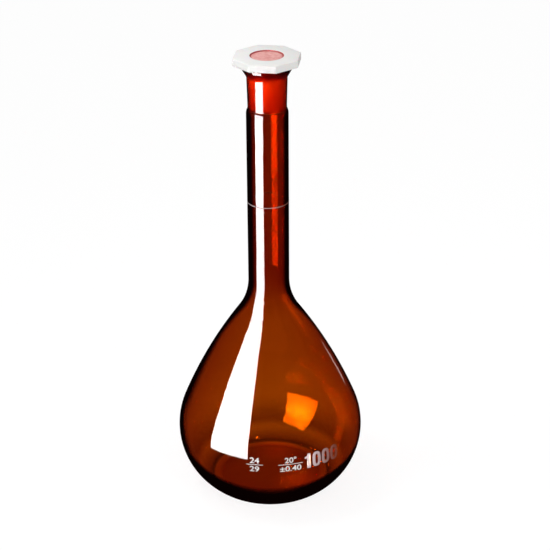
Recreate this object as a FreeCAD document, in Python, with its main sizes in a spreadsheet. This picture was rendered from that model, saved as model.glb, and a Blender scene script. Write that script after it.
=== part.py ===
import FreeCAD, Part
import Sketcher
import math
import os

# Amber volumetric flask of 1000 ml with an octagonal plastic stopper.
# The axis of the flask is Z, the standing ring lies on Z = 0, and all sizes are in millimetres.

document = FreeCAD.newDocument("volumetric_flask")

# Driving sizes: name, value, what it measures
SIZES = [
    ("rim_height", 301.2, "top of the lip above the standing plane"),
    ("mark_height", 208.5, "graduation line above the standing plane"),
    ("bulb_wall", 1.4, "glass wall of the bulb"),
    ("neck_wall", 2.0, "glass wall of the neck"),
    ("belly_radius", 62.57, "largest outer radius of the bulb"),
    ("belly_height", 42.1, "height of the largest radius"),
    ("belly_arc", 50.0, "radius of the belly curve"),
    ("heel_arc", 8.0, "radius that rolls the belly into the foot"),
    ("shoulder_start", 60.83, "height where the belly curve becomes the shoulder"),
    ("shoulder_arc", 336.0, "radius of the long shoulder curve"),
    ("neck_sweep", 38.7, "radius that sweeps the shoulder into the neck"),
    ("neck_radius", 13.55, "outer radius of the neck"),
    ("neck_top_arc", 6.5, "radius that rolls the neck into the socket"),
    ("crease_height", 272.2, "height of the crease below the socket"),
    ("crease_radius", 12.45, "outer radius at the crease"),
    ("flare_height", 293.1, "height where the lip starts to flare"),
    ("flare_radius", 13.0, "outer radius where the lip starts to flare"),
    ("lip_height", 298.3, "height where the flare ends"),
    ("lip_radius", 16.0, "outer radius of the lip"),
    ("lip_round", 1.8, "rounding of the outer edge of the lip"),
    ("crease_round", 0.8, "rounding in the crease and under the lip"),
    ("foot_inner", 33.5, "inner radius of the standing ring"),
    ("push_up", 4.0, "rise of the underside at the axis"),
    ("base_wall", 2.6, "glass thickness of the floor"),
    ("floor_heel", 8.0, "inner radius between floor and belly"),
    ("foot_round", 1.5, "rounding of the inner edge of the standing ring"),
    ("ground_low", 271.0, "height of the narrow end of the ground taper"),
    ("ground_radius", 10.55, "inner radius of the narrow end of the ground taper"),
    ("ground_length", 29.0, "length of the ground taper"),
    ("taper_ratio", 10.0, "length of taper for one unit of diameter"),
    ("bore_top_arc", 7.0, "radius that rolls the neck bore into the ground taper"),
    ("cut_over", 2.0, "overshoot of the cuts past the faces they open"),
    ("mark_width", 0.5, "height of the enamel line"),
    ("mark_depth", 0.15, "depth of the enamel line in the glass"),
    ("mark_proud", 0.05, "rise of the enamel line above the glass"),
    ("head_gap", 0.5, "gap between the lip and the head of the stopper"),
    ("head_corner", 22.3, "radius of the head over its corners"),
    ("head_thick", 4.9, "thickness of the head"),
    ("head_turn", 14.8, "direction of one corner of the head, in degrees from X"),
    ("head_corner_round", 1.2, "rounding of the upright edges of the head"),
    ("head_bevel", 0.6, "bevel of the top and bottom edges of the head"),
    ("plug_end", 273.0, "height of the lower end of the shank"),
    ("plug_clearance", 0.1, "radial gap between shank and ground taper"),
    ("plug_wall", 1.6, "wall of the hollow shank"),
    ("plug_bevel", 0.7, "bevel of the lower edge of the shank"),
    ("plug_roof", 301.4, "height of the top of the hollow in the shank"),
    ("recess_radius", 10.7, "radius of the recess in the head"),
    ("recess_depth", 1.9, "depth of the recess in the head"),
    ("disc_radius", 10.65, "radius of the coloured disc"),
    ("disc_thick", 1.2, "thickness of the coloured disc"),
    ("disc_bevel", 0.25, "bevel of the top edge of the disc"),
]

sheet = document.addObject("Spreadsheet::Sheet", "sizes")
for row, (name, value, meaning) in enumerate(SIZES, start=1):
    sheet.set(f"A{row}", name)
    sheet.set(f"B{row}", str(value))
    sheet.set(f"C{row}", meaning)
    sheet.setAlias(f"B{row}", name)
document.recompute()
size = {name: value for name, value, meaning in SIZES}

START = 1
END = 2
CENTRE = 3
ORIGIN = -1
UPRIGHT_AXIS = -2


def cell(text):
    """Turn the size names in an expression into references to the cells."""
    words = text.split(" ")
    return " ".join(f"sizes.{word}" if word in size else word for word in words)


def new_body(name):
    body = document.addObject("PartDesign::Body", name)
    body.Label = name
    return body


def origin_item(body, role):
    return next(item for item in body.Origin.OriginFeatures if item.Role == role)


def new_sketch(body, name, plane):
    sketch = body.newObject("Sketcher::SketchObject", name)
    sketch.AttachmentSupport = (origin_item(body, plane), [""])
    sketch.MapMode = "FlatFace"
    return sketch


def point(x, y):
    return FreeCAD.Vector(x, y, 0)


def add_line(sketch, start, end):
    return sketch.addGeometry(Part.LineSegment(point(*start), point(*end)), False)


def add_arc(sketch, centre, start, end):
    """Arc from start to end, counter-clockwise about its centre."""
    radius = math.dist(centre, start)
    first = math.atan2(start[1] - centre[1], start[0] - centre[0])
    last = math.atan2(end[1] - centre[1], end[0] - centre[0])
    circle = Part.Circle(point(*centre), FreeCAD.Vector(0, 0, 1), radius)
    return sketch.addGeometry(Part.ArcOfCircle(circle, first, last), False)


def relate(sketch, kind, *items):
    sketch.addConstraint(Sketcher.Constraint(kind, *items))


def measure(sketch, name, kind, items, value, expression):
    """A named dimension that follows the sheet."""
    index = sketch.addConstraint(Sketcher.Constraint(kind, *items, value))
    sketch.renameConstraint(index, name)
    sketch.setExpression(f"Constraints.{name}", cell(expression))


def place(sketch, name, item, end, position, across, up):
    """Dimension one point from the origin, across and up, leaving out None."""
    if across is not None:
        measure(sketch, f"{name}_across", "DistanceX", (ORIGIN, START, item, end), position[0], across)
    if up is not None:
        measure(sketch, f"{name}_up", "DistanceY", (ORIGIN, START, item, end), position[1], up)


def revolve(body, name, kind, sketch):
    feature = body.newObject(kind, name)
    feature.Profile = sketch
    feature.ReferenceAxis = (sketch, ["V_Axis"])
    feature.Angle = 360
    body.Tip = feature
    document.recompute()
    return feature


def edges_at(shape, radius, height, slack=0.02):
    """Names of the round edges about Z with this radius and height."""
    names = []
    for number, edge in enumerate(shape.Edges, start=1):
        if edge.Degenerated or not isinstance(edge.Curve, Part.Circle):
            continue
        if abs(edge.Curve.Radius - radius) < slack and abs(edge.Curve.Center.z - height) < slack:
            names.append(f"Edge{number}")
    return names


def dress_edges(body, kind, setting, name, edge_names, expression):
    base = body.Tip
    feature = body.newObject(kind, name)
    feature.Base = (base, edge_names)
    feature.setExpression(setting, cell(expression))
    body.Tip = feature
    document.recompute()


def round_edges(body, name, edge_names, expression):
    dress_edges(body, "PartDesign::Fillet", "Radius", name, edge_names, expression)


def bevel_edges(body, name, edge_names, expression):
    dress_edges(body, "PartDesign::Chamfer", "Size", name, edge_names, expression)


def along(centre, other, distance):
    """Point at this distance from centre in the direction of other."""
    length = math.dist(centre, other)
    return tuple(c + (o - c) * distance / length for c, o in zip(centre, other))


# Glass flask: centres and tangent points of the outer curve
flask = new_body("flask")
belly_centre = (size["belly_radius"] - size["belly_arc"], size["belly_height"])
heel_reach = size["belly_arc"] - size["heel_arc"]
heel_drop = size["belly_height"] - size["heel_arc"]
heel_centre = (belly_centre[0] + math.sqrt(heel_reach ** 2 - heel_drop ** 2), size["heel_arc"])
foot_end = (heel_centre[0], 0.0)
heel_end = along(belly_centre, heel_centre, size["belly_arc"])
shoulder_rise = size["shoulder_start"] - size["belly_height"]
shoulder_angle = math.asin(shoulder_rise / size["belly_arc"])
shoulder_way = (math.cos(shoulder_angle), math.sin(shoulder_angle))
belly_end = (belly_centre[0] + size["belly_arc"] * shoulder_way[0], size["shoulder_start"])
shoulder_centre = tuple(p - size["shoulder_arc"] * way for p, way in zip(belly_end, shoulder_way))
sweep_across = size["neck_radius"] + size["neck_sweep"]
sweep_reach = size["shoulder_arc"] + size["neck_sweep"]
sweep_rise = math.sqrt(sweep_reach ** 2 - (sweep_across - shoulder_centre[0]) ** 2)
sweep_centre = (sweep_across, shoulder_centre[1] + sweep_rise)
shoulder_end = along(shoulder_centre, sweep_centre, size["shoulder_arc"])
neck_start = (size["neck_radius"], sweep_centre[1])
crease = (size["crease_radius"], size["crease_height"])
neck_top_across = size["neck_radius"] - size["neck_top_arc"]
neck_top_drop = math.sqrt(size["neck_top_arc"] ** 2 - (crease[0] - neck_top_across) ** 2)
neck_top_centre = (neck_top_across, crease[1] - neck_top_drop)
neck_end = (size["neck_radius"], neck_top_centre[1])
flare_start = (size["flare_radius"], size["flare_height"])
lip_start = (size["lip_radius"], size["lip_height"])
lip_top = (size["lip_radius"], size["rim_height"])
axis_top = (0.0, size["rim_height"])
axis_foot = (0.0, 0.0)

# Outer outline: foot, heel, belly, shoulder, neck, socket, lip, and back down the axis
outline = new_sketch(flask, "outer_outline", "XZ_Plane")
foot = add_line(outline, axis_foot, foot_end)
heel = add_arc(outline, heel_centre, foot_end, heel_end)
belly = add_arc(outline, belly_centre, heel_end, belly_end)
shoulder = add_arc(outline, shoulder_centre, belly_end, shoulder_end)
sweep = add_arc(outline, sweep_centre, neck_start, shoulder_end)
neck = add_line(outline, neck_start, neck_end)
neck_top = add_arc(outline, neck_top_centre, neck_end, crease)
socket = add_line(outline, crease, flare_start)
flare = add_line(outline, flare_start, lip_start)
lip = add_line(outline, lip_start, lip_top)
rim = add_line(outline, lip_top, axis_top)
axis = add_line(outline, axis_top, axis_foot)
relate(outline, "Coincident", foot, START, ORIGIN, START)
relate(outline, "Horizontal", foot)
relate(outline, "Tangent", foot, END, heel, START)
relate(outline, "Tangent", heel, END, belly, START)
relate(outline, "Tangent", belly, END, shoulder, START)
relate(outline, "Tangent", shoulder, END, sweep, END)
relate(outline, "Tangent", sweep, START, neck, START)
relate(outline, "Vertical", neck)
relate(outline, "Tangent", neck, END, neck_top, START)
relate(outline, "Coincident", neck_top, END, socket, START)
relate(outline, "Coincident", socket, END, flare, START)
relate(outline, "Coincident", flare, END, lip, START)
relate(outline, "Vertical", lip)
relate(outline, "Coincident", lip, END, rim, START)
relate(outline, "Horizontal", rim)
relate(outline, "Coincident", rim, END, axis, START)
relate(outline, "Vertical", axis)
relate(outline, "Coincident", axis, END, ORIGIN, START)
measure(outline, "heel_arc", "Radius", (heel,), size["heel_arc"], "heel_arc")
measure(outline, "belly_arc", "Radius", (belly,), size["belly_arc"], "belly_arc")
measure(outline, "shoulder_arc", "Radius", (shoulder,), size["shoulder_arc"], "shoulder_arc")
measure(outline, "neck_sweep", "Radius", (sweep,), size["neck_sweep"], "neck_sweep")
measure(outline, "neck_top_arc", "Radius", (neck_top,), size["neck_top_arc"], "neck_top_arc")
place(outline, "belly", belly, CENTRE, belly_centre, "belly_radius - belly_arc", "belly_height")
place(outline, "shoulder", shoulder, START, belly_end, None, "shoulder_start")
place(outline, "neck", neck, START, neck_start, "neck_radius", None)
place(outline, "crease", socket, START, crease, "crease_radius", "crease_height")
place(outline, "flare", flare, START, flare_start, "flare_radius", "flare_height")
place(outline, "lip", lip, START, lip_start, "lip_radius", "lip_height")
place(outline, "rim", rim, START, lip_top, None, "rim_height")
revolve(flask, "outer_form", "PartDesign::Revolution", outline)

# Cavity: the inner curve keeps the wall, the floor follows the push-up, the socket is a 1:10 taper
inner_arc = size["belly_arc"] - size["bulb_wall"]
inner_shoulder_arc = size["shoulder_arc"] - size["bulb_wall"]
dome_arc = (size["foot_inner"] ** 2 + size["push_up"] ** 2) / (2 * size["push_up"])
dome_centre = (0.0, size["push_up"] - dome_arc)
floor_arc = dome_arc + size["base_wall"]
floor_top = (0.0, size["push_up"] + size["base_wall"])
floor_reach = floor_arc + size["floor_heel"]
belly_reach = inner_arc - size["floor_heel"]
centres_apart = math.dist(dome_centre, belly_centre)
way = tuple((b - d) / centres_apart for d, b in zip(dome_centre, belly_centre))
way_out = (way[1], -way[0])
step = (floor_reach ** 2 - belly_reach ** 2 + centres_apart ** 2) / (2 * centres_apart)
aside = math.sqrt(floor_reach ** 2 - step ** 2)
floor_heel_centre = tuple(d + step * w + aside * o for d, w, o in zip(dome_centre, way, way_out))
floor_end = along(dome_centre, floor_heel_centre, floor_arc)
inner_heel_end = along(belly_centre, floor_heel_centre, inner_arc)
inner_belly_end = tuple(c + inner_arc * w for c, w in zip(belly_centre, shoulder_way))
bore_radius = size["neck_radius"] - size["neck_wall"]
inner_sweep_arc = size["neck_sweep"] + size["neck_wall"]
inner_sweep_across = bore_radius + inner_sweep_arc
inner_sweep_reach = inner_shoulder_arc + inner_sweep_arc
inner_sweep_rise = math.sqrt(inner_sweep_reach ** 2 - (inner_sweep_across - shoulder_centre[0]) ** 2)
inner_sweep_centre = (inner_sweep_across, shoulder_centre[1] + inner_sweep_rise)
inner_shoulder_end = along(shoulder_centre, inner_sweep_centre, inner_shoulder_arc)
bore_start = (bore_radius, inner_sweep_centre[1])
ground_low = (size["ground_radius"], size["ground_low"])
bore_top_across = bore_radius - size["bore_top_arc"]
bore_top_drop = math.sqrt(size["bore_top_arc"] ** 2 - (ground_low[0] - bore_top_across) ** 2)
bore_top_centre = (bore_top_across, ground_low[1] - bore_top_drop)
bore_end = (bore_radius, bore_top_centre[1])
cut_top = size["rim_height"] + size["cut_over"]
taper_slope = 1 / (2 * size["taper_ratio"])
ground_high = (ground_low[0] + (cut_top - ground_low[1]) * taper_slope, cut_top)
cavity_top = (0.0, cut_top)

cavity = new_sketch(flask, "cavity_outline", "XZ_Plane")
floor = add_arc(cavity, dome_centre, floor_end, floor_top)
floor_heel = add_arc(cavity, floor_heel_centre, floor_end, inner_heel_end)
inner_belly = add_arc(cavity, belly_centre, inner_heel_end, inner_belly_end)
inner_shoulder = add_arc(cavity, shoulder_centre, inner_belly_end, inner_shoulder_end)
inner_sweep = add_arc(cavity, inner_sweep_centre, bore_start, inner_shoulder_end)
bore = add_line(cavity, bore_start, bore_end)
bore_top = add_arc(cavity, bore_top_centre, bore_end, ground_low)
ground = add_line(cavity, ground_low, ground_high)
mouth = add_line(cavity, ground_high, cavity_top)
cavity_axis = add_line(cavity, cavity_top, floor_top)
relate(cavity, "Tangent", floor, START, floor_heel, START)
relate(cavity, "Tangent", floor_heel, END, inner_belly, START)
relate(cavity, "Tangent", inner_belly, END, inner_shoulder, START)
relate(cavity, "Tangent", inner_shoulder, END, inner_sweep, END)
relate(cavity, "Tangent", inner_sweep, START, bore, START)
relate(cavity, "Vertical", bore)
relate(cavity, "Tangent", bore, END, bore_top, START)
relate(cavity, "Coincident", bore_top, END, ground, START)
relate(cavity, "Coincident", ground, END, mouth, START)
relate(cavity, "Horizontal", mouth)
relate(cavity, "Coincident", mouth, END, cavity_axis, START)
relate(cavity, "Coincident", cavity_axis, END, floor, END)
relate(cavity, "PointOnObject", cavity_axis, START, UPRIGHT_AXIS)
relate(cavity, "PointOnObject", cavity_axis, END, UPRIGHT_AXIS)
relate(cavity, "PointOnObject", floor, CENTRE, UPRIGHT_AXIS)
DOME_ARC = "( foot_inner ^ 2 + push_up ^ 2 ) / ( 2 * push_up )"
JOIN_UP = "belly_height + ( belly_arc - bulb_wall ) * ( shoulder_start - belly_height ) / belly_arc"
GROUND_TOP = "ground_radius + ( rim_height + cut_over - ground_low ) / ( 2 * taper_ratio )"
measure(cavity, "floor_arc", "Radius", (floor,), floor_arc, f"{DOME_ARC} + base_wall")
measure(cavity, "floor_heel", "Radius", (floor_heel,), size["floor_heel"], "floor_heel")
measure(cavity, "inner_arc", "Radius", (inner_belly,), inner_arc, "belly_arc - bulb_wall")
measure(cavity, "shoulder_arc", "Radius", (inner_shoulder,), inner_shoulder_arc, "shoulder_arc - bulb_wall")
measure(cavity, "sweep_arc", "Radius", (inner_sweep,), inner_sweep_arc, "neck_sweep + neck_wall")
measure(cavity, "bore_top_arc", "Radius", (bore_top,), size["bore_top_arc"], "bore_top_arc")
place(cavity, "floor", floor, END, floor_top, None, "push_up + base_wall")
place(cavity, "belly", inner_belly, CENTRE, belly_centre, "belly_radius - belly_arc", "belly_height")
place(cavity, "shoulder", inner_shoulder, START, inner_belly_end, None, JOIN_UP)
place(cavity, "bore", bore, START, bore_start, "neck_radius - neck_wall", None)
place(cavity, "ground_low", ground, START, ground_low, "ground_radius", "ground_low")
place(cavity, "ground_high", ground, END, ground_high, GROUND_TOP, "rim_height + cut_over")
revolve(flask, "cavity", "PartDesign::Groove", cavity)

# Push-up: the underside rises to the axis, so that the flask stands on a ring
below = -size["cut_over"]
hollow = new_sketch(flask, "push_up_outline", "XZ_Plane")
dome_edge = (size["foot_inner"], 0.0)
dome_top = (0.0, size["push_up"])
dome = add_arc(hollow, dome_centre, dome_edge, dome_top)
dome_axis = add_line(hollow, dome_top, (0.0, below))
dome_floor = add_line(hollow, (0.0, below), (size["foot_inner"], below))
dome_side = add_line(hollow, (size["foot_inner"], below), dome_edge)
relate(hollow, "Coincident", dome, END, dome_axis, START)
relate(hollow, "Coincident", dome_axis, END, dome_floor, START)
relate(hollow, "Coincident", dome_floor, END, dome_side, START)
relate(hollow, "Coincident", dome_side, END, dome, START)
relate(hollow, "PointOnObject", dome, CENTRE, UPRIGHT_AXIS)
relate(hollow, "PointOnObject", dome_axis, START, UPRIGHT_AXIS)
relate(hollow, "PointOnObject", dome_axis, END, UPRIGHT_AXIS)
relate(hollow, "PointOnObject", dome, START, ORIGIN)
relate(hollow, "Horizontal", dome_floor)
relate(hollow, "Vertical", dome_side)
place(hollow, "dome_edge", dome, START, dome_edge, "foot_inner", None)
place(hollow, "dome_top", dome, END, dome_top, None, "push_up")
measure(hollow, "below", "DistanceY", (dome_floor, END, ORIGIN, START), -below, "cut_over")
revolve(flask, "push_up", "PartDesign::Groove", hollow)


def add_rectangle(sketch, left, right, bottom, top):
    """Rectangle whose sides are given as (value, expression)."""
    low_left = (left[0], bottom[0])
    low_right = (right[0], bottom[0])
    high_right = (right[0], top[0])
    high_left = (left[0], top[0])
    sides = [
        add_line(sketch, low_left, low_right),
        add_line(sketch, low_right, high_right),
        add_line(sketch, high_right, high_left),
        add_line(sketch, high_left, low_left),
    ]
    for side, following in zip(sides, sides[1:] + sides[:1]):
        relate(sketch, "Coincident", side, END, following, START)
    relate(sketch, "Horizontal", sides[0])
    relate(sketch, "Vertical", sides[1])
    relate(sketch, "Horizontal", sides[2])
    relate(sketch, "Vertical", sides[3])
    place(sketch, "low", sides[0], START, low_left, left[1], bottom[1])
    place(sketch, "high", sides[1], END, high_right, right[1], top[1])


# Band for the graduation line, sunk into the neck
mark_inner = (size["neck_radius"] - size["mark_depth"], "neck_radius - mark_depth")
mark_low = (size["mark_height"] - size["mark_width"] / 2, "mark_height - mark_width / 2")
mark_high = (size["mark_height"] + size["mark_width"] / 2, "mark_height + mark_width / 2")
band = new_sketch(flask, "mark_band_outline", "XZ_Plane")
band_outer = (size["neck_radius"] + size["cut_over"], "neck_radius + cut_over")
add_rectangle(band, mark_inner, band_outer, mark_low, mark_high)
revolve(flask, "mark_band", "PartDesign::Groove", band)

# Fire-polished edges of the glass
shape = flask.Shape
ground_mouth = size["ground_radius"] + (size["rim_height"] - size["ground_low"]) * taper_slope
crease_edges = edges_at(shape, size["crease_radius"], size["crease_height"])
crease_edges += edges_at(shape, size["flare_radius"], size["flare_height"])
round_edges(flask, "crease_rounding", crease_edges, "crease_round")
lip_edges = edges_at(flask.Shape, size["lip_radius"], size["rim_height"])
lip_edges += edges_at(flask.Shape, size["lip_radius"], size["lip_height"])
round_edges(flask, "lip_rounding", lip_edges, "lip_round")
mouth_edges = edges_at(flask.Shape, ground_mouth, size["rim_height"])
round_edges(flask, "mouth_rounding", mouth_edges, "rim_height - ground_low - ground_length")
foot_edges = edges_at(flask.Shape, size["foot_inner"], 0.0)
round_edges(flask, "foot_rounding", foot_edges, "foot_round")

# Graduation line of white enamel
ring_mark = new_body("ring_mark")
line = new_sketch(ring_mark, "line_outline", "XZ_Plane")
mark_outer = (size["neck_radius"] + size["mark_proud"], "neck_radius + mark_proud")
add_rectangle(line, mark_inner, mark_outer, mark_low, mark_high)
revolve(ring_mark, "enamel_line", "PartDesign::Revolution", line)

# Stopper head: an octagon above the lip
CORNERS = 8
stopper = new_body("stopper")
head = new_sketch(stopper, "head_outline", "XY_Plane")
head.setExpression("AttachmentOffset.Base.z", cell("rim_height + head_gap"))
turn = math.radians(size["head_turn"])
around = [turn + 2 * math.pi * number / CORNERS for number in range(CORNERS)]
corners = [(size["head_corner"] * math.cos(a), size["head_corner"] * math.sin(a)) for a in around]
head_sides = [add_line(head, a, b) for a, b in zip(corners, corners[1:] + corners[:1])]
guide = head.addGeometry(Part.Circle(point(0, 0), FreeCAD.Vector(0, 0, 1), size["head_corner"]), True)
spoke = head.addGeometry(Part.LineSegment(point(0, 0), point(*corners[0])), True)
relate(head, "Coincident", guide, CENTRE, ORIGIN, START)
relate(head, "Coincident", spoke, START, ORIGIN, START)
relate(head, "Coincident", spoke, END, head_sides[0], START)
for side, following in zip(head_sides, head_sides[1:] + head_sides[:1]):
    relate(head, "Coincident", side, END, following, START)
for side in head_sides:
    relate(head, "PointOnObject", side, START, guide)
for side in head_sides[1:]:
    relate(head, "Equal", head_sides[0], side)
measure(head, "head_corner", "Radius", (guide,), size["head_corner"], "head_corner")
measure(head, "head_turn", "Angle", (spoke,), turn, "head_turn * 1 deg")
plate = stopper.newObject("PartDesign::Pad", "head_plate")
plate.Profile = head
plate.setExpression("Length", cell("head_thick"))
stopper.Tip = plate
document.recompute()

# Head edges: upright corners first, then the rims of both faces
underside = size["rim_height"] + size["head_gap"]
head_top = underside + size["head_thick"]


def upright_edges(shape):
    names = []
    for number, edge in enumerate(shape.Edges, start=1):
        if edge.BoundBox.ZLength > size["head_thick"] / 2:
            names.append(f"Edge{number}")
    return names


def rim_edges(shape):
    return [f"Edge{number}" for number, edge in enumerate(shape.Edges, start=1)
            if edge.BoundBox.ZLength < size["head_bevel"] / 2]


round_edges(stopper, "head_corners", upright_edges(stopper.Shape), "head_corner_round")
bevel_edges(stopper, "head_rims", rim_edges(stopper.Shape), "head_bevel")

# Tapered shank, a running gap inside the ground socket
SHANK_TOP = "ground_radius - plug_clearance + ( rim_height + head_gap - ground_low ) / ( 2 * taper_ratio )"
SHANK_END = "ground_radius - plug_clearance + ( plug_end - ground_low ) / ( 2 * taper_ratio )"
shank_radius = size["ground_radius"] - size["plug_clearance"]
shank_top = shank_radius + (underside - size["ground_low"]) * taper_slope
shank_end = shank_radius + (size["plug_end"] - size["ground_low"]) * taper_slope


def add_taper(sketch, low_radius, low, high_radius, high):
    """Half section of a cone about the axis, sizes given as (value, expression)."""
    bottom = add_line(sketch, (0.0, low[0]), (low_radius[0], low[0]))
    side = add_line(sketch, (low_radius[0], low[0]), (high_radius[0], high[0]))
    top = add_line(sketch, (high_radius[0], high[0]), (0.0, high[0]))
    inner = add_line(sketch, (0.0, high[0]), (0.0, low[0]))
    for first, second in ((bottom, side), (side, top), (top, inner), (inner, bottom)):
        relate(sketch, "Coincident", first, END, second, START)
    relate(sketch, "Horizontal", bottom)
    relate(sketch, "Horizontal", top)
    relate(sketch, "PointOnObject", inner, START, UPRIGHT_AXIS)
    relate(sketch, "PointOnObject", inner, END, UPRIGHT_AXIS)
    place(sketch, "low", side, START, (low_radius[0], low[0]), low_radius[1], low[1])
    place(sketch, "high", side, END, (high_radius[0], high[0]), high_radius[1], high[1])


shank = new_sketch(stopper, "shank_outline", "XZ_Plane")
shank_low = (size["plug_end"], "plug_end")
shank_high = (underside, "rim_height + head_gap")
add_taper(shank, (shank_end, SHANK_END), shank_low, (shank_top, SHANK_TOP), shank_high)
revolve(stopper, "shank", "PartDesign::Revolution", shank)

# The shank is moulded hollow and open below
core = new_sketch(stopper, "core_outline", "XZ_Plane")
core_low = (size["plug_end"] - size["cut_over"], "plug_end - cut_over")
core_high = (size["plug_roof"], "plug_roof")
core_end = (shank_end - size["plug_wall"], f"{SHANK_END} - plug_wall")
core_top = (shank_top - size["plug_wall"], f"{SHANK_TOP} - plug_wall")
add_taper(core, core_end, core_low, core_top, core_high)
revolve(stopper, "core", "PartDesign::Groove", core)
bevel_edges(stopper, "shank_bevel", edges_at(stopper.Shape, shank_end, size["plug_end"]), "plug_bevel")

# Round recess in the top of the head
recess = new_sketch(stopper, "recess_outline", "XY_Plane")
recess.setExpression("AttachmentOffset.Base.z", cell("rim_height + head_gap + head_thick"))
recess_circle = Part.Circle(point(0, 0), FreeCAD.Vector(0, 0, 1), size["recess_radius"])
recess_edge = recess.addGeometry(recess_circle, False)
relate(recess, "Coincident", recess_edge, CENTRE, ORIGIN, START)
measure(recess, "recess_radius", "Radius", (recess_edge,), size["recess_radius"], "recess_radius")
recess_cut = stopper.newObject("PartDesign::Pocket", "recess")
recess_cut.Profile = recess
recess_cut.setExpression("Length", cell("recess_depth"))
stopper.Tip = recess_cut
document.recompute()

# Coloured disc that lies in the recess
stopper_disc = new_body("stopper_disc")
disc = new_sketch(stopper_disc, "disc_outline", "XY_Plane")
disc.setExpression("AttachmentOffset.Base.z", cell("rim_height + head_gap + head_thick - recess_depth"))
disc_circle = Part.Circle(point(0, 0), FreeCAD.Vector(0, 0, 1), size["disc_radius"])
disc_edge = disc.addGeometry(disc_circle, False)
relate(disc, "Coincident", disc_edge, CENTRE, ORIGIN, START)
measure(disc, "disc_radius", "Radius", (disc_edge,), size["disc_radius"], "disc_radius")
disc_plate = stopper_disc.newObject("PartDesign::Pad", "disc_plate")
disc_plate.Profile = disc
disc_plate.setExpression("Length", cell("disc_thick"))
stopper_disc.Tip = disc_plate
document.recompute()
disc_top = head_top - size["recess_depth"] + size["disc_thick"]
disc_edges = edges_at(stopper_disc.Shape, size["disc_radius"], disc_top)
bevel_edges(stopper_disc, "disc_bevel", disc_edges, "disc_bevel")

# Nothing may be broken, and the cavity must hold the marked volume
document.recompute()
for item in document.Objects:
    if "Invalid" in item.State or "Error" in item.State:
        raise RuntimeError(f"{item.Name} did not build: {item.State}")
for sketch in (outline, cavity, hollow, band, line, head, shank, core, recess, disc):
    if sketch.solve() != 0:
        raise RuntimeError(f"{sketch.Name} is not solved")
bodies = (flask, ring_mark, stopper, stopper_disc)
for body in bodies:
    if body.Shape.isNull() or not body.Shape.isValid() or len(body.Shape.Solids) != 1:
        raise RuntimeError(f"{body.Label} is not one sound solid")
    print(body.Label, round(body.Shape.Volume, 1), "mm3", body.Shape.BoundBox)
below_mark = Part.makeCylinder(2 * size["belly_radius"], size["mark_height"])
cavity_solid = Part.Face(cavity.Shape.Wires[0]).revolve(FreeCAD.Vector(), FreeCAD.Vector(0, 0, 1), 360)
capacity = cavity_solid.common(below_mark).Volume / 1000
print("capacity to the mark", round(capacity, 2), "ml")

os.makedirs("parts", exist_ok=True)
for body in bodies:
    body.Shape.exportStep(f"parts/{body.Label}.step")
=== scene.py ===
import math

import bmesh
import bpy
from mathutils import Matrix, Vector


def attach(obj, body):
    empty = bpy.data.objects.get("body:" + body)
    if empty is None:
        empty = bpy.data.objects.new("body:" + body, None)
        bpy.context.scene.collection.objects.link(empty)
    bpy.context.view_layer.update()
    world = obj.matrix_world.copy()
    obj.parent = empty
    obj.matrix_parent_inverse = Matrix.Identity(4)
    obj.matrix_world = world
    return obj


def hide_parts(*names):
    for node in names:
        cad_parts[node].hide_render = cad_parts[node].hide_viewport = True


# Amber volumetric flask with an octagonal plastic stopper, in metres, on the CAD frame
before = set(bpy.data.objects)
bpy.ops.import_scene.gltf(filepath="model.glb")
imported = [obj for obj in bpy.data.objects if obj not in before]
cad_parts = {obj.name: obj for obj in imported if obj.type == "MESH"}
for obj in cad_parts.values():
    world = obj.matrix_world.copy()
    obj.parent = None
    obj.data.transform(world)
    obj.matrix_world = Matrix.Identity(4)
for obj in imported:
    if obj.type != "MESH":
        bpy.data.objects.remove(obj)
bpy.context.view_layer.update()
MM = 0.001
FULL_TURN = 2 * math.pi

# Sizes of the glass in millimetres, as in the solids
RIM_HEIGHT = 301.2
BELLY_RADIUS = 62.57
BELLY_HEIGHT = 42.1
BELLY_ARC = 50.0
HEEL_ARC = 8.0
SHOULDER_START = 60.83
SHOULDER_ARC = 336.0
NECK_SWEEP = 38.7
NECK_RADIUS = 13.55
NECK_TOP_ARC = 6.5
CREASE = (12.45, 272.2)
FLARE = (13.0, 293.1)
LIP = (16.0, 298.3)
LIP_ROUND = 1.8
CREASE_ROUND = 0.8
FOOT_INNER = 33.5
FOOT_ROUND = 1.5
PUSH_UP = 4.0
BULB_WALL = 1.4
NECK_WALL = 2.0
BASE_WALL = 2.6
FLOOR_HEEL = 8.0
GROUND_LOW = (10.55, 271.0)
GROUND_LENGTH = 29.0
TAPER_SLOPE = 0.05
BORE_TOP_ARC = 7.0
MARK_HEIGHT = 208.5
MARK_WIDTH = 0.5
MARK_DEPTH = 0.15
MARK_PROUD = 0.05

# Sizes of the stopper in millimetres
HEAD_UNDERSIDE = 301.7
HEAD_TOP = 306.6
HEAD_CORNER = 22.3
HEAD_TURN = math.radians(14.8)
HEAD_CORNER_ROUND = 1.2
SHARPEST_CORNER = 0.2
HEAD_EDGE = 0.6
PLUG_END = 273.0
PLUG_CLEARANCE = 0.1
PLUG_WALL = 1.6
PLUG_BEVEL = 0.7
PLUG_ROOF = 301.4
SHANK_ROOT_ROUND = 0.35
HOLLOW_EDGE_ROUND = 0.3
HOLLOW_ROOF_ROUND = 1.0
RECESS_RADIUS = 10.7
RECESS_DEPTH = 1.9
RECESS_FLOOR = HEAD_TOP - RECESS_DEPTH
RECESS_ROUND = 0.25
DISC_RADIUS = 10.65
DISC_THICK = 1.2
DISC_TOP = RECESS_FLOOR + DISC_THICK
DISC_BEVEL = 0.25
DISC_RINGS = (0.85, 0.5)

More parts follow.
